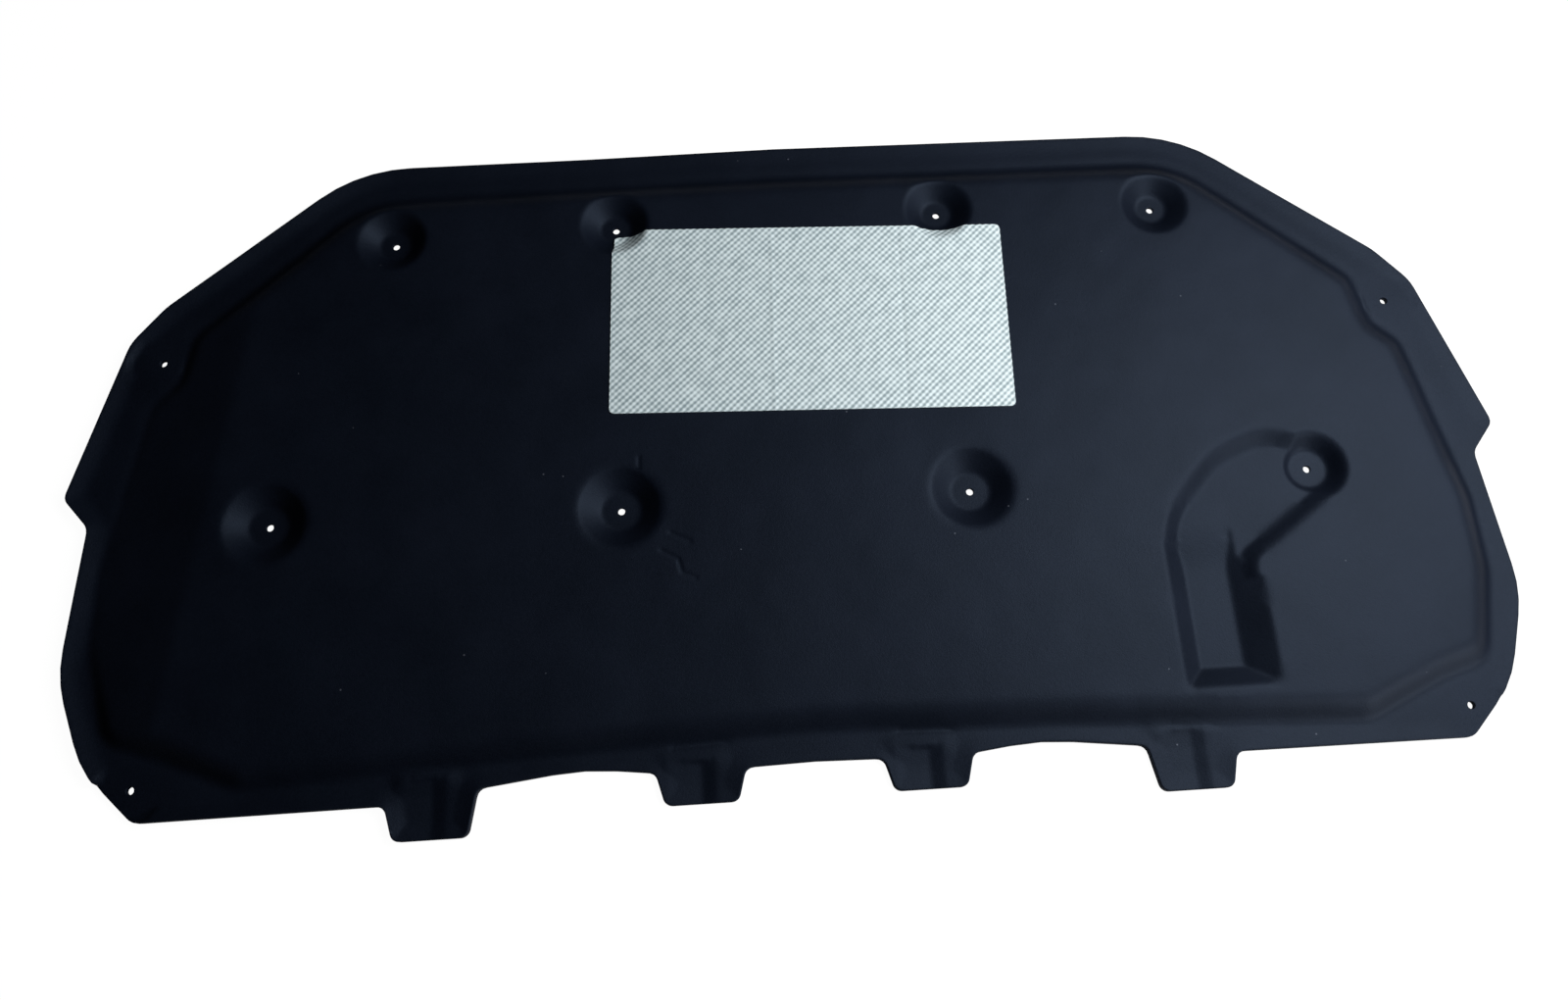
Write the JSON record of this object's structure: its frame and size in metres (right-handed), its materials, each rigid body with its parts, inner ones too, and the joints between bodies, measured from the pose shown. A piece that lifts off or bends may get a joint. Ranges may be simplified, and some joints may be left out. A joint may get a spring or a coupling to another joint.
{
  "type": "hood insulation pad",
  "caption": "Pressed felt pad for the underside of a bonnet, with a padded field, a thin flange, tabs, sunk clip seats, a shallow recess and a foil cloth heat patch.",
  "frame": {"origin": "middle of the pad's footprint, on the surface that it lies on", "axes": "+X to the pad's right and +Y to its wide front edge, as seen from its face, and +Z out of its face"},
  "size_m": [1.3766, 0.679, 0.0193],
  "materials": {
    "pressed_felt": "matte pressed non-woven felt, black with a blue cast",
    "foil_cloth": "aluminised woven glass cloth, pale silver, half matte"
  },
  "bodies": {
    "root": {"insulation_mat": "pressed_felt", "heat_patch": "foil_cloth"}
  },
  "joints": []
}
